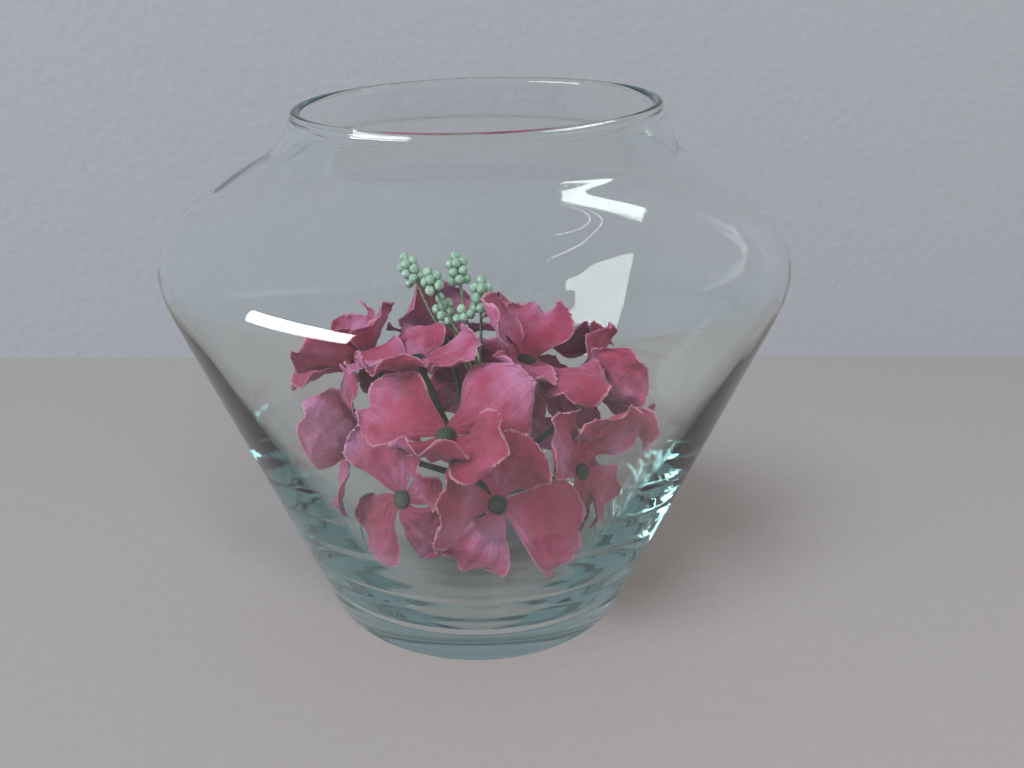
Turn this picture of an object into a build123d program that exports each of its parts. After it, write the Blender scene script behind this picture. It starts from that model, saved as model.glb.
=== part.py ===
from build123d import *

import os
from math import atan2, cos, pi, radians, sin, sqrt, tan

# A shouldered glass bowl vase with a cloth hydrangea head and a pick of berries standing in it.
# Millimetres, +Z up. The origin is the centre of the vase's foot, on the table that it stands on.

# Glass vase: heights above the table, radii about its axis, corners before they are rounded
vase_height = 178.0
rim_radius = 58.8
neck_height = 13.8
neck_root_radius = 64.5
neck_round = 9.0
belly_height = 135.1
belly_radius = 107.2
belly_round = 19.9
foot_radius = 54.0
heel_round = 4.5
wall = 2.6
rim_round = 1.2
base_thickness = 12.0
foot_wall = 9.0
floor_round = 16.0
resting_width = 9.0
punt_depth = 2.0

# Clearances between pieces that fit or rest on each other
rest_gap = 0.3
fit_gap = 0.05

# Main stem of the flower head: a steel wire in a moulded sleeve with a shoulder under the sprays
stem_wire_radius = 1.1
sleeve_radius = 3.0
bare_stem = 13.7
shoulder_radius = 4.8
shoulder_height = 2.0

# Sprays: collars threaded on the stem and stacked, with tapered arms that end in a calyx and a peg
collar_radius = 5.6
collar_height = 8.0
arm_root_offset = 4.6
arm_root_radius = 1.4
arm_tip_radius = 1.0
calyx_radius = 2.9
calyx_height = 4.0
peg_radius = 0.9
peg_in_cap = 1.2

# Cloth florets, one die-cut piece each: a flat centre with a hole, and four petals
cloth = 0.5
petal_share = 0.4842
width_share = 0.8385
petal_neck = 4.6
petal_flare = 36.0
petal_round = 4.0
centre_radius = 3.2
fold_start = 3.4
fold_radius = 7.0
blade_share = 0.35
tip_curl = 15.0

# Caps that hold the florets on their pegs
cap_radius = 3.1
cap_height = 2.2
cap_edge = 0.9

# Berry pick: wires bound together, each with a cluster of berries round its end
berry_wire_radius = 0.5
tape_thickness = 0.6
tape_length = 24.0
berry_radius = 1.65
berry_sides = 8
berry_sections = (-0.85, -0.35, 0.35, 0.85)
berries_in_ring = 4
wire_bend = 9.0

# Where each floret sits: spray, bearing, tilt, arm in petal lengths, turn, and the rise of its petals
florets = [
    ("top", -150, 67, 1.923, 45, (38, 30, 38, 48)),
    ("middle", -104, 47, 2.115, 58, (38, 30, 42, 42)),
    ("top", -18, 73, 1.731, 10, (38, 38, 38, 46)),
    ("lower", -82, 31, 1.808, -14, (24, 50, 30, -15)),
    ("top", 161, 41, 2.038, 0, (38, 30, 42, 35)),
    ("middle", -172, 24, 1.731, 20, (38, 38, 15, -20)),
    ("lower", -127, 27, 1.654, 38, (45, 38, 3, -10)),
    ("lower", -36, 32, 1.808, 45, (35, 50, -11, -11)),
    ("middle", 6, 40, 2.000, 35, (42, 42, 40, 12)),
    ("top", 53, 46, 1.962, 45, (30, 30, 38, 38)),
    ("top", 112, 55, 1.885, 45, (15, 15, 45, 45)),
    ("middle", 130, 27, 1.692, 45, (36, 34, 5, 5)),
    ("middle", 84, 24, 1.654, 45, (38, 38, 5, 5)),
    ("lower", 40, 26, 1.654, 45, (38, 32, -5, -5)),
]

# Berry sprigs: place in the bundle, where the wire bends and ends above the pick's foot, in petal
# lengths, and the rings of berries round its end
sprigs = [
    (142, 1.065, (-0.981, 0.769, 2.604), 3),
    (262, 1.412, (-0.631, 0.250, 2.565), 2),
    (82, 1.296, (-0.292, 0.577, 2.673), 3),
    (202, 1.181, (-0.485, 0.462, 2.173), 3),
    (22, 1.450, (0.050, 0.346, 2.419), 3),
    (322, 1.527, (-0.192, 0.096, 2.162), 1),
]

os.makedirs("parts", exist_ok=True)


def save(piece, name):
    """Names a finished piece and writes it."""
    piece.label = name
    export_step(piece, f"parts/{name}.step")


def inset_corner(before, corner, after, depth):
    """The corner of an outline that runs up the outside, moved in by depth from both of its lines."""
    first = (Vector(*corner) - Vector(*before)).normalized()
    second = (Vector(*after) - Vector(*corner)).normalized()
    first_in = Vector(-first.Y, first.X)
    second_in = Vector(-second.Y, second.X)
    middle = (first_in + second_in).normalized()
    moved = Vector(*corner) + middle * (depth / middle.dot(first_in))
    return (moved.X, moved.Y)


def upright(plane):
    """The plane that stands on another one: same x direction, with its normal as the y direction."""
    return Plane(plane.origin, x_dir=plane.x_dir, z_dir=-plane.y_dir)


def turned(plane, angle):
    """A plane turned about its own normal."""
    first = plane.x_dir * cos(radians(angle)) + plane.y_dir * sin(radians(angle))
    return Plane(plane.origin, x_dir=first, z_dir=plane.z_dir)


# Vase: one blown wall, thin at the shoulder and heavy at the foot, turned about its axis
resting_edge = (foot_radius - resting_width, 0)
foot = (foot_radius, 0)
belly = (belly_radius, belly_height)
neck_root = (neck_root_radius, vase_height - neck_height)
rim = (rim_radius, vase_height)
neck_lean = atan2(neck_root_radius - rim_radius, neck_height)
rim_inside = (rim_radius - wall / cos(neck_lean), vase_height)
neck_inside = inset_corner(belly, neck_root, rim, wall)
belly_inside = inset_corner(foot, belly, neck_root, wall)
floor_edge = (foot_radius - foot_wall, base_thickness)
floor_middle = (0, base_thickness)

with BuildPart() as glass_vase:
    with BuildSketch(Plane.XZ) as wall_section:
        with BuildLine():
            FilletPolyline(
                resting_edge, foot, belly, neck_root, rim, radius=(heel_round, belly_round, neck_round)
            )
            Line(rim, rim_inside)
            FilletPolyline(
                rim_inside, neck_inside, belly_inside, floor_edge, floor_middle,
                radius=(neck_round + wall, belly_round - wall, floor_round),
            )
            Line(floor_middle, (0, punt_depth))
            TangentArc((0, punt_depth), resting_edge, tangent=(1, 0))
        make_face()
        fillet(wall_section.vertices().sort_by(Axis.Y)[-2:], rim_round)
    revolve(axis=Axis.Z)
save(glass_vase.part, "glass_vase")

# Main stem, cut short so that the head stands low in the bowl
stem_foot = base_thickness + rest_gap
collars_start = stem_foot + bare_stem
spray_names = ["lower", "middle", "top"]
stem_top = collars_start + collar_height * len(spray_names)

with BuildPart() as stem_wire:
    with BuildSketch(Plane.XY.offset(stem_foot)):
        Circle(stem_wire_radius)
    extrude(amount=stem_top - stem_foot)
save(stem_wire.part, "stem_wire")

with BuildPart() as stem_sleeve:
    with BuildSketch(Plane.XY.offset(stem_foot)):
        Circle(sleeve_radius)
    extrude(amount=stem_top - stem_foot)
    with BuildSketch(Plane.XY.offset(collars_start - shoulder_height)):
        Circle(shoulder_radius)
    extrude(amount=shoulder_height)
    with BuildSketch(Plane.XY.offset(stem_foot)):
        Circle(stem_wire_radius + fit_gap)
    extrude(amount=stem_top - stem_foot, mode=Mode.SUBTRACT)
save(stem_sleeve.part, "stem_sleeve")


def collar_base(spray_name):
    return collars_start + collar_height * spray_names.index(spray_name)


# The flowers are chosen to fill the bowl, so their size follows the room inside it at the lowest arms
lowest_arms = collar_base("lower") + collar_height / 2
wall_share = (lowest_arms - floor_edge[1]) / (belly_inside[1] - floor_edge[1])
bowl_room = floor_edge[0] + wall_share * (belly_inside[0] - floor_edge[0])
petal_length = petal_share * bowl_room
petal_width = width_share * petal_length


def arm_plane(spray_name, bearing, tilt):
    """The plane at the root of an arm, in its collar's wall, with the arm along its normal."""
    turn, lift = radians(bearing), radians(tilt)
    root = (
        arm_root_offset * cos(turn),
        arm_root_offset * sin(turn),
        collar_base(spray_name) + collar_height / 2,
    )
    along = (cos(lift) * cos(turn), cos(lift) * sin(turn), sin(lift))
    return Plane(root, x_dir=(-sin(turn), cos(turn), 0), z_dir=along)


def floret_plane(spray_name, bearing, tilt, reach, turn):
    """The plane of a floret's flat centre, with its first petal along x."""
    return turned(arm_plane(spray_name, bearing, tilt).offset(reach * petal_length), turn)


# Sprays: each is one moulding of a collar and its arms, and stands on the collar below
for spray_name in spray_names:
    with BuildPart() as spray:
        with BuildSketch(Plane.XY.offset(collar_base(spray_name))):
            Circle(collar_radius)
            Circle(sleeve_radius + fit_gap, mode=Mode.SUBTRACT)
        extrude(amount=collar_height)
        for carrier, bearing, tilt, reach, turn, rises in florets:
            if carrier != spray_name:
                continue
            arm = arm_plane(carrier, bearing, tilt)
            seat = reach * petal_length - cloth / 2
            with BuildSketch(upright(arm)):
                with BuildLine():
                    Polyline(
                        (0, 0),
                        (arm_root_radius, 0),
                        (arm_tip_radius, seat - calyx_height),
                        (calyx_radius, seat),
                        (peg_radius, seat),
                        (peg_radius, seat + cloth + peg_in_cap),
                        (0, seat + cloth + peg_in_cap),
                        close=True,
                    )
                make_face()
            revolve(axis=Axis(arm.origin, arm.z_dir))
    save(spray.part, f"spray_{spray_name}")


def petal(plane, turn, rise):
    """One petal: a strip of cloth that folds up from the centre and curls back at its tip, cut to shape."""
    strip_plane = upright(turned(plane, turn))
    fold_length = fold_radius * radians(abs(rise))
    free_length = petal_length - fold_start - fold_length
    blade_length = free_length * blade_share
    tip_radius = (free_length - blade_length) / radians(tip_curl)
    with BuildLine() as ridge:
        seat = Line((peg_radius + fit_gap, 0), (fold_start, 0))
        fold = JernArc(seat @ 1, seat % 1, fold_radius, rise)
        blade = Line(fold @ 1, fold @ 1 + (fold % 1) * blade_length)
        tip = JernArc(blade @ 1, blade % 1, tip_radius, -tip_curl)
    chord = (tip @ 1) - (seat @ 1)
    along = strip_plane.x_dir * chord.X + strip_plane.y_dir * chord.Y
    across = strip_plane.y_dir * chord.X - strip_plane.x_dir * chord.Y
    cut_plane = Plane(strip_plane.from_local_coords(seat @ 1), x_dir=along, z_dir=across)
    side_run = (petal_width - petal_neck) / 2 / tan(radians(petal_flare))
    with BuildPart() as cut_petal:
        with BuildSketch(strip_plane):
            trace(ridge.line, line_width=cloth)
        extrude(amount=petal_width, both=True)
        with BuildSketch(cut_plane) as outline:
            with BuildLine():
                Polyline(
                    (side_run, petal_width / 2),
                    (0, petal_neck / 2),
                    (-fold_start, petal_neck / 2),
                    (-fold_start, -petal_neck / 2),
                    (0, -petal_neck / 2),
                    (side_run, -petal_width / 2),
                )
                ThreePointArc((side_run, petal_width / 2), (chord.length, 0), (side_run, -petal_width / 2))
            make_face()
            corners = outline.vertices().sort_by(Axis.Y)
            fillet([corners[0], corners[-1]], petal_round)
        extrude(amount=petal_length, both=True, mode=Mode.INTERSECT)
    return cut_petal.part


# Florets: each seats on its calyx, with the peg through its centre
for number, (carrier, bearing, tilt, reach, turn, rises) in enumerate(florets, start=1):
    plane = floret_plane(carrier, bearing, tilt, reach, turn)
    petals = [petal(plane, 360 / len(rises) * k, rise) for k, rise in enumerate(rises)]
    with BuildPart() as floret:
        with BuildSketch(plane.offset(-cloth / 2)):
            Circle(centre_radius)
        extrude(amount=cloth)
        add(petals)
        with BuildSketch(plane.offset(-cloth)):
            Circle(peg_radius + fit_gap)
        extrude(amount=2 * cloth, mode=Mode.SUBTRACT)
    save(floret.part, f"floret_{number:02d}")

# Caps: domed buttons with a blind hole, pressed over the pegs
with BuildPart() as floret_caps:
    for carrier, bearing, tilt, reach, turn, rises in florets:
        plane = floret_plane(carrier, bearing, tilt, reach, turn).offset(cloth / 2)
        hole_depth = peg_in_cap + fit_gap
        with BuildSketch(upright(plane)):
            with BuildLine():
                Polyline((0, hole_depth), (peg_radius + fit_gap, hole_depth), (peg_radius + fit_gap, 0),
                         (cap_radius, 0), (cap_radius, cap_edge))
                TangentArc((0, cap_height), (cap_radius, cap_edge), tangent=(1, 0))
                Line((0, cap_height), (0, hole_depth))
            make_face()
        revolve(axis=Axis(plane.origin, plane.z_dir))
save(floret_caps.part, "floret_caps")

# Berry pick: a taped bundle of wires that stands on the stem's top, among the arms of the top spray
pick_foot = stem_top + rest_gap
bundle_radius = (berry_wire_radius + fit_gap) / sin(pi / len(sprigs))
tape_bore = bundle_radius + berry_wire_radius + fit_gap

with BuildPart() as berry_tape:
    with BuildSketch(Plane.XY.offset(pick_foot)):
        Circle(tape_bore + tape_thickness)
        Circle(tape_bore, mode=Mode.SUBTRACT)
    extrude(amount=tape_length)
save(berry_tape.part, "berry_tape")

# One berry: a small faceted ball
with BuildPart() as berry:
    for height in berry_sections:
        with BuildSketch(Plane.XY.offset(height * berry_radius)):
            RegularPolygon(berry_radius * (1 - height**2) ** 0.5, berry_sides)
    loft(ruled=True)

# Rings of berries round a wire's end: neighbours nearly touch, and each ring sits in the gaps of the last
berry_spacing = 2 * (berry_radius + fit_gap)
ring_radius = berry_spacing / 2 / sin(pi / berries_in_ring)
half_step_chord = 2 * ring_radius * sin(pi / berries_in_ring / 2)
ring_step = sqrt(berry_spacing**2 - half_step_chord**2)

for number, (place, bend, cluster, rings) in enumerate(sprigs, start=1):
    x, y = bundle_radius * cos(radians(place)), bundle_radius * sin(radians(place))
    with BuildPart() as berry_stem:
        with BuildLine() as route:
            foot_point = Vector(x, y, pick_foot)
            bend_point = foot_point + (0, 0, bend * petal_length)
            end_point = Vector(0, 0, pick_foot) + Vector(*cluster) * petal_length
            FilletPolyline(foot_point, bend_point, end_point, radius=wire_bend)
        with BuildSketch(Plane(route.line @ 0, z_dir=route.line % 0)):
            Circle(berry_wire_radius)
        sweep()
    save(berry_stem.part, f"berry_stem_{number}")

    end = Plane(route.line @ 1, z_dir=route.line % 1)
    places = [end.offset(berry_radius + fit_gap).location]
    for ring in range(rings):
        for k in range(berries_in_ring):
            angle = radians(360 / berries_in_ring * (k + ring / 2))
            spot = (ring_radius * cos(angle), ring_radius * sin(angle), -berry_radius / 2 - ring * ring_step)
            places.append(Plane(end.from_local_coords(spot), x_dir=end.x_dir, z_dir=end.z_dir).location)
    with BuildPart() as berries:
        with Locations(*places):
            add(berry.part)
    save(berries.part, f"berries_{number}")
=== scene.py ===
# %% [markdown]
# # A glass bowl vase with cloth hydrangeas
#
# The real object is a blown glass bowl with a heavy foot, and a head of cloth flowers stands in it.
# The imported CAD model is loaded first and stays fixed: it gives every piece its place. The glass, the cloth
# and the berries are then modelled again with the finer shapes that a CAD solid leaves out.

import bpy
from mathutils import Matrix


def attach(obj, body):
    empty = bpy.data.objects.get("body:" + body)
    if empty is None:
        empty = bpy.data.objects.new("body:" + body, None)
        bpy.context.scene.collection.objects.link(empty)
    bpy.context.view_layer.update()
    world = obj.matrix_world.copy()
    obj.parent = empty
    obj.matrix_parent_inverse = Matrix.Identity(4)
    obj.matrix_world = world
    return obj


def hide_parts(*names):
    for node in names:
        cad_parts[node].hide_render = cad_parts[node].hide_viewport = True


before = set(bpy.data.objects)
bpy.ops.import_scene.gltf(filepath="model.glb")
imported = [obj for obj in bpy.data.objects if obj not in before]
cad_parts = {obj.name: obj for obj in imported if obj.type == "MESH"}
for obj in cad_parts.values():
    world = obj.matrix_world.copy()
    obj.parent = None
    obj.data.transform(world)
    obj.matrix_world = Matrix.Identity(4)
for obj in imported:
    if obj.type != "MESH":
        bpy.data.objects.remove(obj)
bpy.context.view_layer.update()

# %% Tools that every step uses
import random
from math import cos, pi, radians, sin, sqrt

import bpy
import numpy as np
from mathutils import Matrix, Vector, noise
from mathutils.bvhtree import BVHTree

MM = 0.001
print("lengths are written in millimetres and scaled by", MM)


def deselect_all():
    bpy.ops.object.select_all(action="DESELECT")


def smooth_step(value):
    """0 below 0, 1 above 1, and an even S between them."""
    value = min(1.0, max(0.0, value))
    return value * value * (3 - 2 * value)


# %% [markdown]
# ## Camera
#
# The photograph looks a little down on the vase from close by, through a lens of about 37 mm on a 36 mm wide
# sensor. Place, direction and lens come from fitting the rim, shoulder and foot of the vase to the picture.
# Three directions at right angles make the camera's matrix: its right, its up and its back.

# %% Camera
CAMERA_PLACE = Vector((0, -0.34305, 0.22786))
CAMERA_PITCH, CAMERA_YAW, CAMERA_ROLL = radians(23.366), radians(2.029), radians(0.589)
SENSOR_WIDTH, LENS = 36, 36.91

forward = Vector((
    sin(CAMERA_YAW) * cos(CAMERA_PITCH),
    cos(CAMERA_YAW) * cos(CAMERA_PITCH),
    -sin(CAMERA_PITCH),
))
level = Vector((cos(CAMERA_YAW), -sin(CAMERA_YAW), 0))
steep = level.cross(forward)
camera_right = level * cos(CAMERA_ROLL) + steep * sin(CAMERA_ROLL)
camera_up = steep * cos(CAMERA_ROLL) - level * sin(CAMERA_ROLL)
camera_turn = Matrix((camera_right, camera_up, -forward)).transposed()

deselect_all()
bpy.ops.object.camera_add(location=CAMERA_PLACE, rotation=camera_turn.to_euler())
camera = bpy.context.object
camera.data.sensor_width = SENSOR_WIDTH
camera.data.lens = LENS
camera.data.clip_start = 0.01
bpy.context.scene.camera = camera
print("camera at", [round(c, 3) for c in camera.location], "lens", camera.data.lens)

# %% [markdown]
# ## Materials
#
# Colours are written as sRGB hex values, as a picker shows them, and one function turns them to the
# linear values that Blender's sockets take. A second function adds a node with its settings and links, so
# that each material reads as a list of its nodes.

# %% Colour and node helpers
def linear(hex_colour):
    """An sRGB hex colour as linear red, green, blue and a full alpha."""
    channels = [int(hex_colour[i:i + 2], 16) / 255 for i in (1, 3, 5)]
    return [c / 12.92 if c <= 0.04045 else ((c + 0.055) / 1.055) ** 2.4 for c in channels] + [1.0]


def add_node(tree, kind, inputs=None, **settings):
    """Adds a node, gives it its settings, and sets or links its inputs by name or number."""
    node = tree.nodes.new(kind)
    for name, value in settings.items():
        setattr(node, name, value)
    for name, value in (inputs or {}).items():
        if isinstance(value, bpy.types.NodeSocket):
            tree.links.new(value, node.inputs[name])
        else:
            node.inputs[name].default_value = value
    return node


def new_material(name):
    """A material with a bare Principled shader; returns the material, its node tree and the shader."""
    material = bpy.data.materials.new(name)
    material.use_nodes = True
    return material, material.node_tree, material.node_tree.nodes["Principled BSDF"]


def set_ramp(ramp, stops):
    """Gives a colour ramp its stops: (position, hex colour)."""
    elements = ramp.color_ramp.elements
    while len(elements) > len(stops):
        elements.remove(elements[-1])
    while len(elements) < len(stops):
        elements.new(0.5)
    for element, (position, colour) in zip(elements, stops):
        element.position = position
        element.color = linear(colour)


print("middle grey #808080 is", round(linear("#808080")[0], 3), "in linear light")

# %% [markdown]
# ### Soda-lime glass
#
# Blown soda-lime glass is clear, but iron in the sand gives a thick piece a blue-green body colour. The
# surface is fire-polished, so its roughness is nearly nothing. The body colour comes from Volume Absorption:
# light that goes a long way through the glass loses its red, so the heavy foot is tinted and the thin neck
# is not.

# %% Glass
clear_glass, tree, shader = new_material("clear_soda_lime_glass")
shader.inputs["Base Color"].default_value = linear("#fbfefd")
shader.inputs["Transmission Weight"].default_value = 1.0
shader.inputs["IOR"].default_value = 1.5
shader.inputs["Roughness"].default_value = 0.0
coordinates = add_node(tree, "ShaderNodeTexCoord")
# Slow waves of about 25 mm, as blowing leaves them, bend what is seen through the wall a little.
waves = add_node(
    tree, "ShaderNodeTexNoise",
    {"Vector": coordinates.outputs["Object"], "Scale": 1 / (25 * MM), "Detail": 1.0},
)
wave_bump = add_node(
    tree, "ShaderNodeBump", {"Height": waves.outputs["Fac"], "Strength": 0.06, "Distance": 1.5 * MM},
)
tree.links.new(wave_bump.outputs["Normal"], shader.inputs["Normal"])
body_colour = add_node(tree, "ShaderNodeVolumeAbsorption", {"Color": linear("#c4dedd"), "Density": 15.0})
tree.links.new(body_colour.outputs["Volume"], tree.nodes["Material Output"].inputs["Volume"])
print("made", clear_glass.name)

# %% [markdown]
# ### Woven polyester
#
# The petals are cut from thin woven polyester, dyed a dusty rose and pressed into shape. The eye sees a
# paler, frayed edge where the die cut the threads, veins that fan out from the centre, and a lavender sheen
# where the cloth turns away. The petal's own UV map runs from the centre to the tip and from side to side,
# so lines of equal side value are fan-shaped veins without more work.

# %% Petal cloth
petal_cloth, tree, shader = new_material("woven_polyester_petals")
coordinates = add_node(tree, "ShaderNodeTexCoord")
uv = add_node(tree, "ShaderNodeSeparateXYZ", {"Vector": coordinates.outputs["UV"]})
blotches = add_node(
    tree, "ShaderNodeTexNoise",
    {"Vector": coordinates.outputs["Object"], "Scale": 1 / (30 * MM), "Detail": 4.0},
)
tone = add_node(tree, "ShaderNodeValToRGB", {"Fac": blotches.outputs["Fac"]})
set_ramp(tone, [(0.34, "#922f49"), (0.5, "#a54562"), (0.66, "#bd7ca3")])
# The dye is deeper towards the centre.
heart = add_node(
    tree, "ShaderNodeMapRange",
    {"Value": uv.outputs["X"], "From Min": 0.02, "From Max": 0.42, "To Min": 0.75, "To Max": 0.0},
)
deep = add_node(
    tree, "ShaderNodeMix",
    {"Factor": heart.outputs["Result"], 6: tone.outputs["Color"], 7: linear("#80213c")}, data_type="RGBA",
)
# Veins fan out about 2 mm apart at the widest place: fourteen across the petal.
vein_waver = add_node(
    tree, "ShaderNodeTexNoise",
    {"Vector": coordinates.outputs["Object"], "Scale": 1 / (6 * MM), "Detail": 2.0},
)
vein_line = add_node(
    tree, "ShaderNodeMath",
    {0: vein_waver.outputs["Fac"], 1: 0.10, 2: uv.outputs["Y"]}, operation="MULTIPLY_ADD",
)
VEINS = 14
vein_phase = add_node(
    tree, "ShaderNodeMath", {0: vein_line.outputs[0], 1: VEINS * 2 * pi}, operation="MULTIPLY",
)
vein_wave = add_node(tree, "ShaderNodeMath", {0: vein_phase.outputs[0]}, operation="SINE")
vein_mask = add_node(
    tree, "ShaderNodeMapRange",
    {"Value": vein_wave.outputs[0], "From Min": 0.55, "From Max": 1.0, "To Min": 0.0, "To Max": 0.22},
)
veined = add_node(
    tree, "ShaderNodeMix",
    {"Factor": vein_mask.outputs["Result"], 6: deep.outputs[2], 7: linear("#933753")}, data_type="RGBA",
)
# Pale frayed edge, about 1 mm wide at the sides and the tip.
side = add_node(tree, "ShaderNodeMath", {0: uv.outputs["Y"], 1: 0.5}, operation="SUBTRACT")
side_far = add_node(tree, "ShaderNodeMath", {0: side.outputs[0]}, operation="ABSOLUTE")
side_edge = add_node(
    tree, "ShaderNodeMapRange", {"Value": side_far.outputs[0], "From Min": 0.465, "From Max": 0.495},
)
tip_edge = add_node(
    tree, "ShaderNodeMapRange", {"Value": uv.outputs["X"], "From Min": 0.965, "From Max": 0.995},
)
edge = add_node(
    tree, "ShaderNodeMath",
    {0: side_edge.outputs["Result"], 1: tip_edge.outputs["Result"]}, operation="MAXIMUM",
)
past_heart = add_node(
    tree, "ShaderNodeMapRange", {"Value": uv.outputs["X"], "From Min": 0.2, "From Max": 0.4, "To Max": 0.6},
)
edge_share = add_node(
    tree, "ShaderNodeMath", {0: edge.outputs[0], 1: past_heart.outputs["Result"]}, operation="MULTIPLY",
)
edged = add_node(
    tree, "ShaderNodeMix",
    {"Factor": edge_share.outputs[0], 6: veined.outputs[2], 7: linear("#dba6bb")}, data_type="RGBA",
)
tree.links.new(edged.outputs[2], shader.inputs["Base Color"])
# Threads are 0.2 mm apart; they are drawn 0.7 mm apart so that the render can show them.
THREAD, CLOTH_LENGTH, CLOTH_WIDTH = 0.7, 28, 23
threads = (CLOTH_LENGTH / THREAD, CLOTH_WIDTH / THREAD, 1)
weave_scale = add_node(
    tree, "ShaderNodeVectorMath", {0: coordinates.outputs["UV"], 1: threads}, operation="MULTIPLY",
)
weave = add_node(tree, "ShaderNodeTexChecker", {"Vector": weave_scale.outputs["Vector"], "Scale": 1.0})
# Pressing leaves fine wrinkles of about 2.4 mm.
wrinkles = add_node(
    tree, "ShaderNodeTexNoise",
    {"Vector": coordinates.outputs["Object"], "Scale": 1 / (2.4 * MM), "Detail": 4.0},
)
weave_bump = add_node(
    tree, "ShaderNodeBump", {"Height": weave.outputs["Fac"], "Strength": 0.5, "Distance": 0.1 * MM},
)
vein_bump = add_node(
    tree, "ShaderNodeBump",
    {
        "Height": vein_wave.outputs[0], "Strength": 0.5,
        "Distance": 0.06 * MM, "Normal": weave_bump.outputs["Normal"],
    },
)
wrinkle_bump = add_node(
    tree, "ShaderNodeBump",
    {
        "Height": wrinkles.outputs["Fac"], "Strength": 0.7,
        "Distance": 0.8 * MM, "Normal": vein_bump.outputs["Normal"],
    },
)
tree.links.new(wrinkle_bump.outputs["Normal"], shader.inputs["Normal"])
shader.inputs["Roughness"].default_value = 0.8
shader.inputs["Sheen Weight"].default_value = 0.35
shader.inputs["Sheen Roughness"].default_value = 0.45
shader.inputs["Specular IOR Level"].default_value = 0.25
shader.inputs["Sheen Tint"].default_value = linear("#dcbbe6")
print("made", petal_cloth.name)

# %% [markdown]
# ### Moulded polyethylene, crepe tape and lacquered wire
#
# Stems and flower centres are moulded in dark green polyethylene: waxy, a little uneven in colour. The
# wires of the berries are bound with green crepe tape at the foot, and lacquered grey-green above it. Drawn
# steel is the core of the main stem. The berries are foam with a matt coat of mint paint.

# %% Greens and wire
def uneven_material(name, colours, grain, roughness, bump):
    """A plain finish whose colour wanders between two values over patches of a size in millimetres."""
    material, tree, shader = new_material(name)
    coordinates = add_node(tree, "ShaderNodeTexCoord")
    patches = add_node(
        tree, "ShaderNodeTexNoise",
        {"Vector": coordinates.outputs["Object"], "Scale": 1 / (grain * MM), "Detail": 4.0},
    )
    ramp = add_node(tree, "ShaderNodeValToRGB", {"Fac": patches.outputs["Fac"]})
    set_ramp(ramp, [(0.35, colours[0]), (0.65, colours[1])])
    tree.links.new(ramp.outputs["Color"], shader.inputs["Base Color"])
    skin = add_node(
        tree, "ShaderNodeBump", {"Height": patches.outputs["Fac"], "Strength": 0.5, "Distance": bump * MM},
    )
    tree.links.new(skin.outputs["Normal"], shader.inputs["Normal"])
    shader.inputs["Roughness"].default_value = roughness
    print("made", name)
    return material


# Name, two colours, size of the patches in millimetres, roughness, and depth of the bump in millimetres.
green_stem = uneven_material("moulded_green_polyethylene", ("#1e3020", "#3d5a37"), 3.0, 0.5, 0.15)
green_centre = uneven_material("moulded_dark_green_centres", ("#0e1c14", "#243c29"), 1.2, 0.7, 0.3)
crepe_tape = uneven_material("green_crepe_tape", ("#33492b", "#56693f"), 0.8, 0.8, 0.2)
berry_wire = uneven_material("green_lacquered_wire", ("#4b6049", "#768b70"), 1.5, 0.45, 0.05)
steel_wire = uneven_material("drawn_steel_wire", ("#6a6a68", "#858582"), 0.6, 0.35, 0.02)
steel_wire.node_tree.nodes["Principled BSDF"].inputs["Metallic"].default_value = 1.0
mint_berry = uneven_material("mint_painted_foam", ("#7ca68d", "#b0cfb8"), 1.1, 0.6, 0.12)

# %% [markdown]
# ## Glass bowl
#
# A glass blower turns the bowl in a mould, so it is round about one axis. The way to model that is the way
# it is made: draw half of the wall's outline as a line of vertices and spin it. Outside, the outline follows
# the CAD solid's, with its bends eased in: a cone from the foot to the belly, a rounded shoulder, and a short
# neck. Inside, the wall grows from under 3 mm at the belly to nearly 10 mm at the foot, and low rings run
# round it.

# %% Outline of the wall
def rounded(corners, steps=10):
    """Points along an outline in millimetres whose corners (radius, height, rounding) become arcs."""
    points = []
    for k, (x, z, rounding) in enumerate(corners):
        corner = Vector((x, z))
        if rounding == 0:
            points.append(corner)
            continue
        back = (Vector(corners[k - 1][:2]) - corner).normalized()
        ahead = (Vector(corners[k + 1][:2]) - corner).normalized()
        middle = (back + ahead).normalized()
        half_angle = back.angle(ahead) / 2
        centre = corner + middle * (rounding / sin(half_angle))
        start = corner + back * (rounding / sin(half_angle) * cos(half_angle)) - centre
        end = corner + ahead * (rounding / sin(half_angle) * cos(half_angle)) - centre
        sweep = start.angle(end)
        for step in range(steps + 1):
            share = step / steps
            arm = start * (sin((1 - share) * sweep) / sin(sweep)) + end * (sin(share * sweep) / sin(sweep))
            points.append(centre + arm)
    return points


# Radii and heights in millimetres. FOOT, BELLY and NECK_ROOT are sharp corners that are rounded later.
FOOT, BELLY, NECK_ROOT, NECK_TOP = (54.0, 0.0), (107.2, 135.1), (64.5, 164.2), (59.4, 175.4)
HEIGHT, PUNT_RADIUS, PUNT_DEPTH = 178.0, 45, 2.0
BEAD_CENTRE, BEAD_RADIUS = (57.4, 176.35), 1.65
THIN_WALL, HEAVY_WALL, BASE = 2.2, 9.7, 12.0
# The wall grows heavier below the first height, over the second one.
HEAVY_BELOW, HEAVY_OVER, HEAVY_CURVE = 125, 110, 1.8
# The rings fade out towards their top, and stray a little from an even pitch.
RING_DEPTH, RING_PITCH, RING_TOP, RING_FADE = 0.03, 8, 52, 22
STRAY, STRAY_LENGTH = 1.2, 17
EASED_ABOVE, INNER_FROM, INNER_TO = 25, 16, 174.5
FLOOR_STEP, FLOOR_ROUNDING = 4.0, 8.0


def wall_depth(height):
    """Thickness of the glass, measured at the edges of the picture: thin down to the belly, then heavier."""
    share = min(1.0, max(0.0, (HEAVY_BELOW - height) / HEAVY_OVER))
    return THIN_WALL + (HEAVY_WALL - THIN_WALL) * share**HEAVY_CURVE


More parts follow.
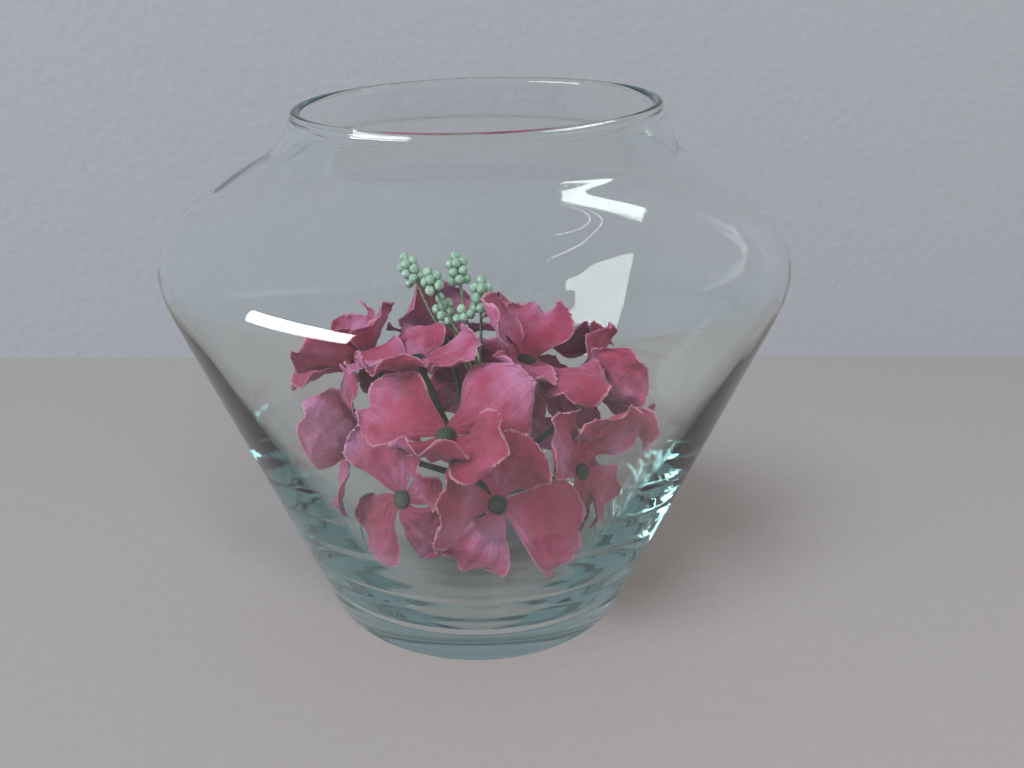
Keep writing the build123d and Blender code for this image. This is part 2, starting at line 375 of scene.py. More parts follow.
def ripple(height):
    """Low rings that the mould leaves inside the lower wall, about 8 mm apart."""
    phase = height / RING_PITCH * 2 * pi + STRAY * sin(height / STRAY_LENGTH)
    return RING_DEPTH * sin(phase) * smooth_step((RING_TOP - height) / RING_FADE)


def dense(points, step=1.2):
    """The same line with more points, about a step apart where it was sparser."""
    line = [points[0]]
    for before, after in zip(points, points[1:]):
        count = max(1, round((after - before).length / step))
        line += [before.lerp(after, (k + 1) / count) for k in range(count)]
    return line


def eased(line, passes=30):
    """The line with its bends eased in, as glass flows: a pass moves each point towards its neighbours."""
    for _ in range(passes):
        middles = [
            (before + point * 2 + after) / 4 if point.y > EASED_ABOVE else point
            for before, point, after in zip(line, line[1:], line[2:])
        ]
        line = [line[0], *middles, line[-1]]
    return line


punt_radii = (0, 8, 16, 24, 32, 39)
punt = [Vector((radius, PUNT_DEPTH * (1 - (radius / PUNT_RADIUS) ** 2))) for radius in punt_radii]
wall_corners = [(PUNT_RADIUS, 0.0, 0), (*FOOT, 4.5), (*BELLY, 16.0), (*NECK_ROOT, 6.0), (*NECK_TOP, 0)]
outer_wall = eased(dense(rounded(wall_corners, 16)))
bead_arms = [Vector((cos(radians(angle)), sin(radians(angle)))) for angle in range(-15, 196, 15)]
bead = [Vector(BEAD_CENTRE) + arm * BEAD_RADIUS for arm in bead_arms]
inner_wall = []
for before, point, after in zip(outer_wall, outer_wall[1:], outer_wall[2:]):
    if INNER_FROM < point.y < INNER_TO:
        along = (after - before).normalized()
        inward = Vector((-along.y, along.x))
        inner_wall.append(point + inward * (wall_depth(point.y) + ripple(point.y)))
inner_wall.reverse()
floor_corners = [(*inner_wall[-1], 0), (inner_wall[-1].x - FLOOR_STEP, BASE, FLOOR_ROUNDING)]
floor_corners += [(radius, BASE, 0) for radius in (30, 20, 10, 0)]
inner_floor = rounded(floor_corners)[1:]
outline = punt + outer_wall + bead + inner_wall + inner_floor
widest = max(point.x for point in outline)
print("outline of", len(outline), "points, largest radius", round(widest, 2), "mm")

# %% Spin the outline
SPIN_STEPS = 160

deselect_all()
bpy.ops.mesh.primitive_plane_add(size=MM)
bowl = bpy.context.object
bowl.name = "glass_bowl"
bpy.ops.object.mode_set(mode="EDIT")
bpy.ops.mesh.merge(type="CENTER")
bpy.ops.transform.translate(value=(0, 0, outline[0].y * MM))
for before, after in zip(outline, outline[1:]):
    move = (after - before) * MM
    bpy.ops.mesh.extrude_region_move(TRANSFORM_OT_translate={"value": (move.x, 0, move.y)})
bpy.ops.mesh.select_all(action="SELECT")
bpy.ops.mesh.spin(steps=SPIN_STEPS, angle=2 * pi, center=(0, 0, 0), axis=(0, 0, 1))
bpy.ops.mesh.select_all(action="SELECT")
bpy.ops.mesh.remove_doubles(threshold=0.02 * MM)
bpy.ops.mesh.normals_make_consistent(inside=False)
bpy.ops.object.mode_set(mode="OBJECT")
print("bowl has", len(bowl.data.polygons), "faces, box", [round(c, 4) for c in bowl.dimensions])

# %% [markdown]
# The rim of this bowl isn't level: its right side stands about 4 mm higher than its left, as hand work
# leaves it. The tilt grows from below the neck upwards, so the belly stays true.

# %% Tilt the rim
RIM_TILT, TILT_ABOVE = 0.0354, 150

for vertex in bowl.data.vertices:
    share = smooth_step((vertex.co.z / MM - TILT_ABOVE) / (HEIGHT - TILT_ABOVE))
    vertex.co.z += vertex.co.x * RIM_TILT * share
deselect_all()
bowl.select_set(True)
bpy.context.view_layer.objects.active = bowl
bpy.ops.object.shade_smooth()
bowl.data.materials.append(clear_glass)
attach(bowl, "vase")
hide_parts("glass_vase")
# Light reaches the flowers straight through the glass: without this, the render would count it as opaque.
bowl.visible_shadow = False
bowl.visible_diffuse = False
print("rim rises by", round(2 * NECK_TOP[0] * RIM_TILT, 1), "mm from left to right")

# %% [markdown]
# ## Cloth florets
#
# Each hydrangea floret is one die-cut piece of cloth: a small round centre with four broad petals,
# separated by slits. Pressing gives each petal a fold at its root, a cupped or rolled cross-section, pleats
# and wavy edges. A petal starts as a grid primitive whose rows run from the centre to the tip; every vertex
# is then moved to where the flat cut, and after it the bent cloth, puts it. Four petals are joined and sewn
# at the centre.

# %% Where the florets sit
HUB_HEIGHTS = {"lower": 30.0, "middle": 38.0, "top": 46.0}
ARM_ROOT = 4.6
# Spray, bearing, tilt, reach in millimetres, turn about the face, and the rise of the four petals.
FLORETS = [
    ("top", -150, 67, 50, 45, (38, 30, 38, 48)),
    ("middle", -104, 47, 55, 58, (38, 30, 42, 42)),
    ("top", -18, 73, 45, 10, (38, 38, 38, 46)),
    ("lower", -82, 31, 47, -14, (24, 50, 30, -15)),
    ("top", 161, 41, 53, 0, (38, 30, 42, 35)),
    ("middle", -172, 24, 45, 20, (38, 38, 15, -20)),
    ("lower", -127, 27, 43, 38, (45, 38, 3, -10)),
    ("lower", -36, 32, 47, 45, (35, 50, -11, -11)),
    ("middle", 6, 40, 52, 35, (42, 42, 40, 12)),
    ("top", 53, 46, 51, 45, (30, 30, 38, 38)),
    ("top", 112, 55, 49, 45, (15, 15, 45, 45)),
    ("middle", 130, 27, 44, 45, (36, 34, 5, 5)),
    ("middle", 84, 24, 43, 45, (38, 38, 5, 5)),
    ("lower", 40, 26, 43, 45, (38, 32, -5, -5)),
]


def floret_matrix(floret):
    """The place of a floret in metres: its first petal along x, and its face along z."""
    spray, bearing, tilt, reach, turn, _ = FLORETS[floret - 1]
    around, lift = radians(bearing), radians(tilt)
    face = Vector((cos(lift) * cos(around), cos(lift) * sin(around), sin(lift)))
    sideways = Vector((-sin(around), cos(around), 0))
    first = Matrix.Rotation(radians(turn), 3, face) @ sideways
    centre = Vector((ARM_ROOT * cos(around), ARM_ROOT * sin(around), HUB_HEIGHTS[spray])) + face * reach
    axes = Matrix((first, face.cross(first), face)).transposed().to_4x4()
    return Matrix.Translation(centre * MM) @ axes


print(len(FLORETS), "florets to make")

# %% One petal
# In millimetres: the peg's hole, where the slits and the fold begin, the fold's radius, and how far past
# the slits the blade gets its full shape.
HOLE, CENTRE, FOLD_START, FOLD_RADIUS, BLADE_OVER = 1.0, 3.2, 3.4, 7.0, 7
PETAL_ROWS, PETAL_COLUMNS, CENTRE_ROWS = 56, 40, 4
# Shares of the length: the part up to the widest place, the part beyond it, and the blade before it curls.
WIDEST, BEYOND_WIDEST, FLAT_BLADE = 0.6, 0.4, 0.35
SWELL, TIP_NARROWING, CURL_OVER = 1.25, 0.72, 1.4
# Frayed edge: size along and depth of a tuft in millimetres, tufts across, and how close to the edge.
TUFT, FRAY_DEPTH, TUFTS_ACROSS, SIDE_CLOSE, TIP_CLOSE = 0.9, 0.9, 10, 12, 16
# Waves along the sides and round the tip, then pleats: how many, how deep, and how they fade.
SIDE_WAVES, SIDE_WAVE_CURVE, TIP_WAVES, TIP_WAVE_CURVE, TIP_WAVE_SHARE = 1.4, 2.5, 0.8, 5, 0.8
PLEATS, PLEAT_DEPTH, PLEAT_SHIFT, PLEAT_FADE = 4.2, 0.5, 6, 0.6
# Crumples and wrinkles: size and depth in millimetres.
CRUMPLE, CRUMPLE_DEPTH, WRINKLE, WRINKLE_DEPTH = 4.5, 1.2, 1.8, 0.3


def half_width(distance, look):
    """Half of the flat cut's width, in millimetres, at a distance from the floret's centre."""
    if distance <= CENTRE:
        return distance * sin(pi / 4)
    share = (distance - CENTRE) / (look["length"] - CENTRE)
    root = CENTRE * sin(pi / 4)
    if share < WIDEST:
        return root + (look["width"] / 2 - root) * sin(pi / 2 * share / WIDEST) ** SWELL
    return look["width"] / 2 * sqrt(1 - TIP_NARROWING * ((share - WIDEST) / BEYOND_WIDEST) ** 2)


def ridge_line(look, steps=80):
    """Points and angles along the petal's middle, after folding up and curling at the tip."""
    length, fold = look["length"], FOLD_RADIUS * radians(abs(look["rise"]))
    blade_end = FOLD_START + fold + FLAT_BLADE * (length - FOLD_START - fold)
    curl_length = CURL_OVER * (length - blade_end)
    x, z, line = 0.0, 0.0, []
    for step in range(steps + 1):
        distance = length * step / steps
        folded = radians(look["rise"]) * smooth_step((distance - FOLD_START) / (fold + 0.01))
        curled = radians(look["curl"]) * smooth_step((distance - blade_end) / curl_length)
        angle = folded - curled
        line.append((x, z, angle))
        x += cos(angle) * length / steps
        z += sin(angle) * length / steps
    return line


def row_place(along, look):
    """Distance of a grid row from the floret's centre, and how far its two ends are drawn back."""
    centre_share = CENTRE_ROWS / PETAL_ROWS
    roundness = 1 - cos(pi / 4)
    if along <= centre_share + 0.001:
        distance = HOLE + (CENTRE - HOLE) * along / centre_share
        return distance, distance * roundness
    distance = CENTRE + (look["length"] - CENTRE) * (along - centre_share) / (1 - centre_share)
    share = (distance - CENTRE) / (look["length"] - CENTRE)
    # The root's bow fades over the first quarter of the blade, and the tip's grows from three eighths on.
    root_bow = CENTRE * roundness * (1 - smooth_step(share * 4))
    return distance, root_bow + look["tip_bow"] * smooth_step(share * 1.6 - 0.6)


def cloth_lift(distance, across, sideways, look):
    """How far the cup, waves, fold, pleats and crumples lift the cloth off the petal's middle."""
    tip = distance / look["length"]
    side_phase = 2 * pi * (SIDE_WAVES * tip + look["phase"])
    tip_phase = 2 * pi * (TIP_WAVES * across + look["phase"])
    ruffle = abs(across) ** SIDE_WAVE_CURVE * sin(side_phase) * look["wave"]
    ruffle += tip**TIP_WAVE_CURVE * sin(tip_phase) * look["wave"] * TIP_WAVE_SHARE
    pleats = PLEAT_DEPTH * sin(PLEATS * pi * across + PLEAT_SHIFT * look["phase"]) * (1 - PLEAT_FADE * tip)
    coarse = Vector((distance / CRUMPLE, sideways / CRUMPLE, look["seed"] + 0.5))
    fine = Vector((distance / WRINKLE, sideways / WRINKLE, look["seed"] + 0.7))
    crumple = CRUMPLE_DEPTH * noise.noise(coarse)
    crumple += WRINKLE_DEPTH * noise.noise(fine)
    return look["cup"] * across * across + ruffle + look["fold"] * abs(across) + pleats + crumple


def petal_point(along, across, line, look):
    """Where a point of the unit grid goes: along 0 to 1 from centre to tip, across -1 to 1."""
    distance, bow = row_place(along, look)
    free = smooth_step((distance - CENTRE) / BLADE_OVER)
    tuft = noise.noise(Vector((distance / TUFT, across * TUFTS_ACROSS, look["seed"])))
    frayed = tuft * max(abs(across) ** SIDE_CLOSE, along**TIP_CLOSE) * free
    sideways = across * (half_width(distance, look) + FRAY_DEPTH * frayed)
    place = distance - bow * across * across + FRAY_DEPTH * frayed
    steps = len(line) - 1
    spot = min(steps - 0.001, max(0.0, place / look["length"] * steps))
    k = int(spot)
    x0, z0, angle = line[k]
    x1, z1, _ = line[k + 1]
    x = x0 + (x1 - x0) * (spot - k)
    z = z0 + (z1 - z0) * (spot - k)
    lift = free * cloth_lift(distance, across, sideways, look)
    twist = radians(look["twist"]) * free * (distance / look["length"])
    sideways, lift = sideways * cos(twist) - lift * sin(twist), sideways * sin(twist) + lift * cos(twist)
    out = x - sin(angle) * lift
    turn = radians(look["turn"]) * free
    across_turned = out * sin(turn) + sideways * cos(turn)
    return Vector((out * cos(turn) - sideways * sin(turn), across_turned, z + cos(angle) * lift)) * MM


def cut_area(look):
    """Flat area of a petal in square metres, with its quarter of the centre."""
    steps = 60
    strip = look["length"] / steps
    return sum(2 * half_width(strip * (k + 0.5), look) * strip for k in range(steps)) * MM * MM


print("a petal's grid has", PETAL_ROWS * PETAL_COLUMNS, "faces")

# %% [markdown]
# No two pressed petals are alike: cup, fold, twist, curl and waves are drawn for each one. The photograph
# shows where most of the tips lie. A tip's pixel gives a line of sight, bent twice by the glass, and the
# script tries how far the petal may rise and turn to bring its tip nearest to that line.

# %% Aim the petals
PICTURE_SIZE, GLASS_INDEX = (1024, 768), 1.5
# Degrees of rise and turn that are tried.
RISES, TURNS = range(-50, 86, 5), range(-30, 31, 6)
# A change as large as one of these costs one, and so does a tip that misses its line by TIP_MISS mm. A tip
# that comes nearer to the glass than GLASS_ROOM mm costs more the nearer it comes.
AIMED_RISE, PLAIN_RISE = 38, 22
BENDS = {"turn": 18, "curl": 35, "cup": 3, "twist": 16, "phase": 0.3}
TIP_MISS, GLASS_ROOM = 4, 5
# Pixel of the tip and length in millimetres, by floret and petal, read from the photograph.
PETAL_TIPS = {
    (1, 0): (470, 353, 28), (1, 1): (425, 316, 29), (1, 2): (355, 366, 29), (1, 3): (390, 406, 28),
    (2, 0): (524, 384, 34), (2, 1): (372, 402, 32), (2, 2): (432, 466, 28), (2, 3): (512, 450, 29),
    (3, 0): (546, 316, 30), (3, 1): (472, 306, 31), (3, 2): (530, 392, 25), (3, 3): (606, 384, 33),
    (4, 0): (579, 512, 33), (4, 1): (530, 430, 30), (4, 2): (443, 487, 30), (4, 3): (452, 562, 30),
    (5, 0): (290, 350, 33), (5, 1): (374, 318, 30), (5, 3): (280, 384, 31),
    (6, 0): (298, 408, 33), (6, 3): (314, 486, 31),
    (7, 0): (426, 462, 28), (7, 1): (368, 414, 34), (7, 2): (370, 552, 30), (7, 3): (462, 534, 29),
    (8, 0): (630, 416, 34), (8, 1): (566, 425, 32), (8, 2): (583, 566, 34), (8, 3): (608, 520, 30),
    (9, 1): (653, 372, 31), (9, 2): (652, 482, 31),
    (10, 0): (526, 314, 29), (10, 1): (584, 322, 29), (10, 2): (618, 350, 29),
    (11, 0): (424, 298, 29), (11, 1): (500, 326, 29), (11, 2): (456, 338, 28), (11, 3): (392, 326, 29),
}


def refracted(direction, normal, ratio):
    """The direction of light after it passes a surface into a medium of another index."""
    if direction.dot(normal) > 0:
        normal = -normal
    facing = -direction.dot(normal)
    return direction * ratio + normal * (ratio * facing - sqrt(max(0.0, 1 - ratio**2 * (1 - facing**2))))


def line_of_sight(pixel):
    """Start and direction, inside the bowl, of the line along which the camera sees a pixel."""
    focal = camera.data.lens / camera.data.sensor_width * PICTURE_SIZE[0]
    across = pixel[0] - PICTURE_SIZE[0] / 2
    down = pixel[1] - PICTURE_SIZE[1] / 2
    start = CAMERA_PLACE
    direction = (camera_turn @ Vector((across / focal, -down / focal, -1))).normalized()
    # Each search starts a tenth of a millimetre past the last surface, so as not to find it again.
    for ratio in (1 / GLASS_INDEX, GLASS_INDEX):
        _, start, normal, _ = bowl.ray_cast(start + direction * 0.1 * MM, direction)
        direction = refracted(direction, normal, ratio)
    return start, direction


def drawn_look(floret, petal):
    """The bends and waves of a petal before it is aimed."""
    draw = random.Random(100 * floret + petal)
    length = PETAL_TIPS[floret, petal][2] if (floret, petal) in PETAL_TIPS else draw.uniform(29.5, 32.0)
    return {
        "rise": FLORETS[floret - 1][5][petal], "turn": 0.0,
        "length": length, "width": length * draw.uniform(0.88, 0.96),
        "cup": draw.choice((-1, 1)) * draw.uniform(1.5, 4.5), "fold": draw.uniform(-1.0, 1.4),
        "twist": draw.uniform(-14, 14), "curl": draw.uniform(8, 34), "wave": draw.uniform(1.3, 2.5),
        "phase": draw.random(), "tip_bow": draw.uniform(3.5, 6.0), "seed": 10.0 * floret + petal,
    }


def petal_matrix(floret, petal):
    """The place of a petal: its floret's, turned by a quarter for each petal before it."""
    return floret_matrix(floret) @ Matrix.Rotation(petal * pi / 2, 4, "Z")


def inner_radius(height):
    """Radius of the bowl's inside at a height, both in metres."""
    upwards = inner_wall[::-1]
    return np.interp(height / MM, [point.y for point in upwards], [point.x for point in upwards]) * MM


def effort(key, look):
    """The cost of a petal's bends, of a tip near the glass, and of one that misses its line of sight."""
    first = first_looks[key]
    bends = {"rise": AIMED_RISE if key in sights else PLAIN_RISE, **BENDS}
    total = sum(((look[name] - first[name]) / scale) ** 2 for name, scale in bends.items())
    tip = petal_matrix(*key) @ petal_point(1, 0, ridge_line(look), look)
    room = inner_radius(tip.z) - tip.xy.length
    total += max(0.0, GLASS_ROOM - room / MM) ** 2
    if key in sights:
        start, direction = sights[key]
        total += ((tip - start).cross(direction).length / (TIP_MISS * MM)) ** 2
    return total


bpy.context.view_layer.update()
sights = {key: line_of_sight(tip[:2]) for key, tip in PETAL_TIPS.items()}
keys = [(floret, petal) for floret in range(1, len(FLORETS) + 1) for petal in range(4)]
first_looks = {key: drawn_look(*key) for key in keys}
looks = dict(first_looks)
for key in sights:
    trials = [{**first_looks[key], "rise": rise, "turn": turn} for rise in RISES for turn in TURNS]
    looks[key] = min(trials, key=lambda trial: effort(key, trial))
print("aimed", len(sights), "petals of", len(looks))

# %% [markdown]
# Aimed petals may run into each other, as real ones do until someone fluffs the head up. The script does
# the same: it takes each petal that crosses a neighbour, a stem, a berry or the glass, bends it a little at
# random, and keeps the bend if less of it crosses and the tip stays near its place.

# %% Free the petals
rigid_trees = {"bowl": BVHTree.FromObject(bowl, bpy.context.evaluated_depsgraph_get())}
for name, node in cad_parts.items():
    if name == "floret_caps" or name.startswith(("spray", "stem", "berr")):
        rigid_trees[name] = BVHTree.FromObject(node, bpy.context.evaluated_depsgraph_get())
TRIAL_SPREADS = {"rise": 8, "turn": 6, "curl": 8, "cup": 1.0, "twist": 5, "phase": 0.08}
# A crossing face costs more with each sweep, and a petal that crosses at all counts as ten faces more.
FIRST_PRICE, PRICE_STEP, CROSSED_AT_ALL = 0.2, 0.1, 10
# The root is the share of a petal that lies against its own floret's parts. Florets whose centres are nearer
# than REACH mm are neighbours.
ROOT_SHARE, REACH = 0.36, 68


def petal_trees(key, look, rows, columns, gap):
    """Search trees of a petal's middle and of a shell round it, each whole and without the petal's root."""
    place, line = petal_matrix(*key), ridge_line(look)
    grid = [
        place @ petal_point(i / rows, 2 * j / columns - 1, line, look)
        for i in range(rows + 1) for j in range(columns + 1)
    ]
    points = np.array(grid).reshape(rows + 1, columns + 1, 3)
    normals = np.cross(np.gradient(points, axis=0), np.gradient(points, axis=1))
    normals *= gap * MM / (np.linalg.norm(normals, axis=-1, keepdims=True) + 1e-12)
    middle, offsets = points.reshape(-1, 3), normals.reshape(-1, 3)
    shell = np.concatenate([middle + side * offsets for side in (0, 1, -1)]).tolist()
    width, root = columns + 1, round(rows * ROOT_SHARE)
    faces = [
        (i * width + j, (i + 1) * width + j, (i + 1) * width + j + 1, i * width + j + 1)
        for i in range(rows) for j in range(columns)
    ]
    free_faces = faces[root * columns:]
    trees = {}
    for name, chosen in (("whole", faces), ("blade", free_faces)):
        trees[name] = BVHTree.FromPolygons(grid, chosen)
        layers = [tuple(v + layer * len(grid) for v in face) for layer in range(3) for face in chosen]
        trees[name + "_shell"] = BVHTree.FromPolygons(shell, layers)
    return trees


def crossings(key, trees, all_trees):
    """How many faces of a petal cross its neighbours or the rigid pieces."""
    count = 0
    for other in neighbours[key]:
        part = "blade" if other[0] == key[0] else "whole"
        count += len(trees[part + "_shell"].overlap(all_trees[other][part]))
    for name, tree in rigid_trees.items():
        part = "blade" if name == "floret_caps" or name.startswith("spray") else "whole"
        count += len(trees[part + "_shell"].overlap(tree))
    return count


def free_petals(rows, columns, gap, sweeps, trials):
    """Bends the petals that cross something until nothing crosses, or the sweeps are used up."""
    draw = random.Random(3)
    all_trees = {key: petal_trees(key, look, rows, columns, gap) for key, look in looks.items()}
    for sweep in range(sweeps):
        crossed = [key for key in looks if crossings(key, all_trees[key], all_trees)]
        print("sweep", sweep, "petals that cross something:", len(crossed))
        if not crossed:
            break
        draw.shuffle(crossed)
        price = FIRST_PRICE + PRICE_STEP * sweep
        for key in crossed:
            count = crossings(key, all_trees[key], all_trees)
            best = effort(key, looks[key]) + price * (count + CROSSED_AT_ALL)
            for _ in range(trials):
                trial = dict(looks[key])
                for name, spread in TRIAL_SPREADS.items():
                    trial[name] += draw.gauss(0, spread)
                trees = petal_trees(key, trial, rows, columns, gap)
                count = crossings(key, trees, all_trees)
                cost = effort(key, trial) + price * (count + CROSSED_AT_ALL if count else 0)
                if cost < best:
                    best, looks[key], all_trees[key] = cost, trial, trees


centres = {key: floret_matrix(key[0]).translation for key in looks}
neighbours = {
    key: [other for other in looks if other != key and (centres[key] - centres[other]).length < REACH * MM]
    for key in looks
}
free_petals(rows=14, columns=10, gap=0.5, sweeps=8, trials=8)
free_petals(rows=28, columns=20, gap=0.4, sweeps=8, trials=8)
free_petals(rows=56, columns=40, gap=0.3, sweeps=8, trials=6)

# %% [markdown]
# The grids of four petals are joined, sewn where they meet, and thickened.

# %% Make the florets
CLOTH = 0.2


def make_floret(number):
    """One cloth floret as a single sewn and thickened sheet."""
    petals, flat_area = [], 0.0
    for k in range(4):
        look = looks[number, k]
        flat_area += cut_area(look)
        line = ridge_line(look)
        petal_place = petal_matrix(number, k)
        bpy.ops.mesh.primitive_grid_add(
            x_subdivisions=PETAL_ROWS, y_subdivisions=PETAL_COLUMNS, size=1,
        )
        petal = bpy.context.object
        for vertex in petal.data.vertices:
            vertex.co = petal_place @ petal_point(vertex.co.x + 0.5, vertex.co.y * 2, line, look)
        petals.append(petal)
    deselect_all()
    for petal in petals:
        petal.select_set(True)
    bpy.ops.object.join()
    floret = bpy.context.object
    floret.name = f"cloth_floret_{number:02d}"
    bpy.ops.object.mode_set(mode="EDIT")
    bpy.ops.mesh.select_all(action="SELECT")
    bpy.ops.mesh.remove_doubles(threshold=0.005 * MM)
    bpy.ops.object.mode_set(mode="OBJECT")
    thickness = floret.modifiers.new("cloth", "SOLIDIFY")
    thickness.thickness = CLOTH * MM
    thickness.offset = 0
    bpy.ops.object.modifier_apply(modifier=thickness.name)
    bpy.ops.object.shade_smooth()
    floret.data.materials.append(petal_cloth)
    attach(floret, "flower_head")
    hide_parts(f"floret_{number:02d}")
    return floret


deselect_all()
cloth_florets = [make_floret(number) for number in range(1, len(FLORETS) + 1)]
print(len(cloth_florets), "florets,", len(cloth_florets[0].data.polygons), "faces in the first")

# %% [markdown]
# ## Berries
#
# The pick carries clusters of small foam berries. Each CAD cluster is copied, its loose solids are separated,
# and a rounder, slightly uneven berry takes the place of each one.

# %% Berry clusters
BERRY_RADIUS, UNEVENNESS, DENTS = 1.65, 0.16, 1.6


def make_cluster(number):
    """One cluster of uneven berries in place of the CAD's; returns how many there are."""
    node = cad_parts[f"berries_{number}"]
    deselect_all()
    copy = node.copy()
    copy.data = node.data.copy()
    copy.parent = None
    bpy.context.scene.collection.objects.link(copy)
    copy.select_set(True)
    bpy.context.view_layer.objects.active = copy
    bpy.ops.object.mode_set(mode="EDIT")
    bpy.ops.mesh.select_all(action="SELECT")
    bpy.ops.mesh.remove_doubles(threshold=0.01 * MM)
    bpy.ops.mesh.separate(type="LOOSE")
    bpy.ops.object.mode_set(mode="OBJECT")
    solids = list(bpy.context.selected_objects)
    middles = []
    for solid in solids:
        corners = [Vector(corner) for corner in solid.bound_box]
        middles.append(sum(corners, Vector()) / 8)
    for solid in solids:
        bpy.data.objects.remove(solid)
    berries = []
    for k, middle in enumerate(sorted(middles, key=lambda point: (point.z, point.x))):
        bpy.ops.mesh.primitive_ico_sphere_add(subdivisions=3, radius=BERRY_RADIUS * MM, location=middle)
        berry = bpy.context.object
        bpy.ops.object.transform_apply(location=True)
        for vertex in berry.data.vertices:
            out = (vertex.co - middle).normalized()
            vertex.co += out * noise.noise(out * DENTS + Vector((number, k, 0))) * UNEVENNESS * MM
        berries.append(berry)
    deselect_all()
    for berry in berries:
        berry.select_set(True)
    bpy.ops.object.join()
    cluster = bpy.context.object
    cluster.name = f"berry_cluster_{number}"
    deselect_all()
    cluster.select_set(True)
    bpy.context.scene.cursor.location = (0, 0, 0)
    bpy.ops.object.origin_set(type="ORIGIN_CURSOR")
    bpy.ops.object.shade_smooth()
    cluster.data.materials.append(mint_berry)
    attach(cluster, "berry_pick")
    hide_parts(f"berries_{number}")
    return len(berries)


print("berries in the clusters:", [make_cluster(number) for number in range(1, 7)])

# %% [markdown]
# ## CAD pieces that stay
#
# Stems, arms, centres, tape and wires are rigid and already have their real shape, so they only get a
# finish.

# %% Finishes of the CAD pieces
finishes = {"stem_wire": steel_wire, "stem_sleeve": green_stem}
finishes.update({"floret_caps": green_centre, "berry_tape": crepe_tape})
finishes.update({f"spray_{name}": green_stem for name in HUB_HEIGHTS})
finishes.update({f"berry_stem_{number}": berry_wire for number in range(1, 7)})
for name, material in finishes.items():
    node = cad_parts[name]
    node.data.materials.clear()
    node.data.materials.append(material)
print("finished", len(finishes), "CAD pieces")

# %% [markdown]
# ## Stage
#
# The vase stands on a pale table in front of a pale wall. The wall is seen only from its front, so that the
# back of the vase can be looked at too.

# %% Table and wall
STAGE_SIZE, TABLE_DROP, WALL_BEHIND = 6, 0.0004, 0.225

deselect_all()
bpy.ops.mesh.primitive_plane_add(size=STAGE_SIZE, location=(0, 0, -TABLE_DROP))
table = bpy.context.object
table.name = "table"
table_paint, tree, shader = new_material("matt_painted_table")
coordinates = add_node(tree, "ShaderNodeTexCoord")
mottle = add_node(
    tree, "ShaderNodeTexNoise",
    {"Vector": coordinates.outputs["Object"], "Scale": 1 / (4 * MM), "Detail": 4.0},
)
ramp = add_node(tree, "ShaderNodeValToRGB", {"Fac": mottle.outputs["Fac"]})
set_ramp(ramp, [(0.3, "#a4a19d"), (0.7, "#a7a4a0")])
tree.links.new(ramp.outputs["Color"], shader.inputs["Base Color"])
shader.inputs["Roughness"].default_value = 0.9
shader.inputs["Specular IOR Level"].default_value = 0.1
table.data.materials.append(table_paint)

wall_place = (0, WALL_BEHIND, STAGE_SIZE / 2 - TABLE_DROP)
bpy.ops.mesh.primitive_plane_add(size=STAGE_SIZE, location=wall_place, rotation=(pi / 2, 0, 0))
wall = bpy.context.object
wall.name = "wall"
wall_paper, tree, shader = new_material("embossed_wall_paper")
coordinates = add_node(tree, "ShaderNodeTexCoord")
emboss = add_node(
    tree, "ShaderNodeTexNoise",
    {"Vector": coordinates.outputs["Object"], "Scale": 1 / (5 * MM), "Detail": 2.0},
)
relief = add_node(
    tree, "ShaderNodeBump", {"Height": emboss.outputs["Fac"], "Strength": 0.35, "Distance": 1.0 * MM},
)
tree.links.new(relief.outputs["Normal"], shader.inputs["Normal"])
shader.inputs["Base Color"].default_value = linear("#b0b4ba")
shader.inputs["Roughness"].default_value = 0.8
behind = add_node(tree, "ShaderNodeNewGeometry")
unseen = add_node(tree, "ShaderNodeBsdfTransparent")
one_sided = add_node(
    tree, "ShaderNodeMixShader",
    {"Fac": behind.outputs["Backfacing"], 1: shader.outputs["BSDF"], 2: unseen.outputs["BSDF"]},
)
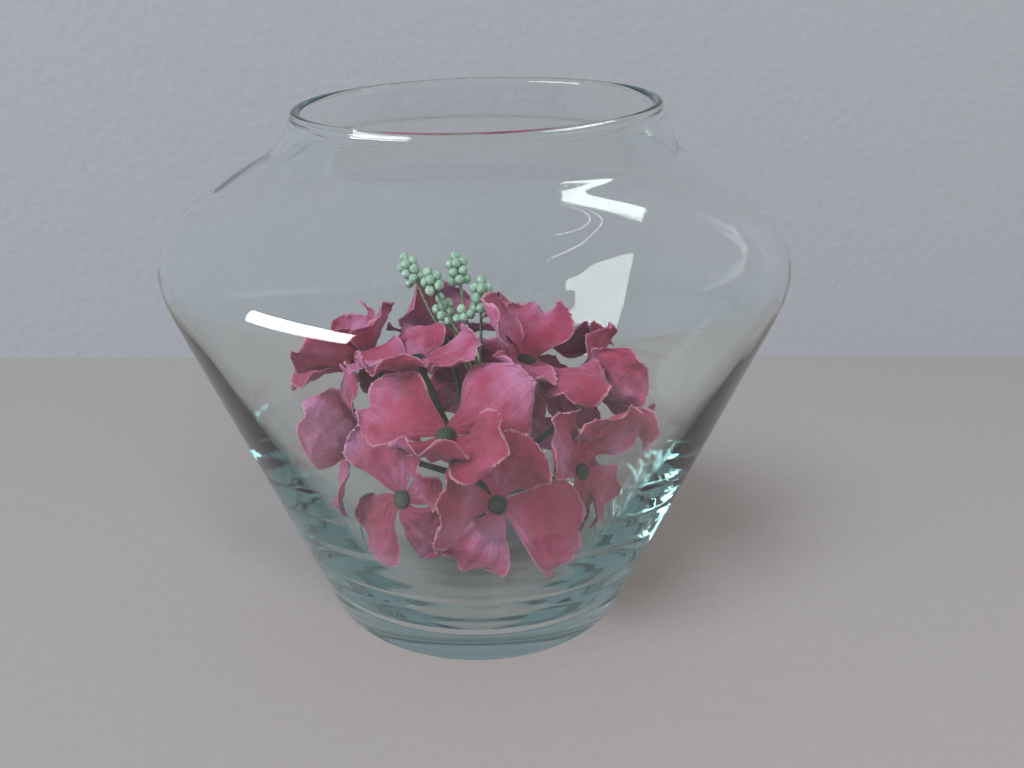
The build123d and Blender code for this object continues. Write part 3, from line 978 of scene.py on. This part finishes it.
tree.links.new(one_sided.outputs["Shader"], tree.nodes["Material Output"].inputs["Surface"])
wall.data.materials.append(wall_paper)
print("stage:", table.name, wall.name)

# %% [markdown]
# ## Light
#
# A soft room light comes from the world. A large softbox stands for the window on the left and gives the
# shading; a small one near it is the bright pane that the glass mirrors twice, once on the left of the belly
# and once, tall and narrow, in the far side of the bowl. A weak warm lamp fills the shadows from the right.

# %% World and lamps
MIDDLE = Vector((0, 0, 0.09))

world = bpy.data.worlds.new("room")
bpy.context.scene.world = world
world.use_nodes = True
world.node_tree.nodes["Background"].inputs["Color"].default_value = linear("#dfe4ea")
world.node_tree.nodes["Background"].inputs["Strength"].default_value = 0.47


def add_softbox(name, place, size, power, colour):
    """A rectangular lamp that faces the middle of the vase."""
    direction = MIDDLE - Vector(place)
    facing = direction.to_track_quat("-Z", "Y").to_euler()
    bpy.ops.object.light_add(type="AREA", location=place, rotation=facing)
    lamp = bpy.context.object
    lamp.name = name
    lamp.data.shape = "RECTANGLE"
    lamp.data.size, lamp.data.size_y = size
    lamp.data.energy = power
    lamp.data.color = linear(colour)[:3]
    print(name, "of", power, "W")
    return lamp


daylight = add_softbox("left_window", (-2.7, -1.7, 2.8), (2.0, 1.6), 140.0, "#f2f5ff")
daylight.visible_glossy = daylight.visible_transmission = False
pane = add_softbox("left_pane", (-0.85, -0.5, 0.33), (0.7, 0.3), 10.0, "#ffffff")
pane.visible_diffuse = False
fill = add_softbox("right_fill", (0.55, -0.75, 0.85), (0.25, 0.6), 4.5, "#fff1e6")
fill.visible_glossy = fill.visible_transmission = False

# %% [markdown]
# ## Finish
#
# The colours are shown as they are written, so the view transform is Standard.

# %% View transform and light bounces
bpy.context.scene.view_settings.view_transform = "Standard"
# Light that is caught in the thick wall is thrown back many times; cut short, it would show as black.
bpy.context.scene.cycles.max_bounces = 32
bpy.context.scene.cycles.glossy_bounces = 24
bpy.context.scene.cycles.transmission_bounces = 24
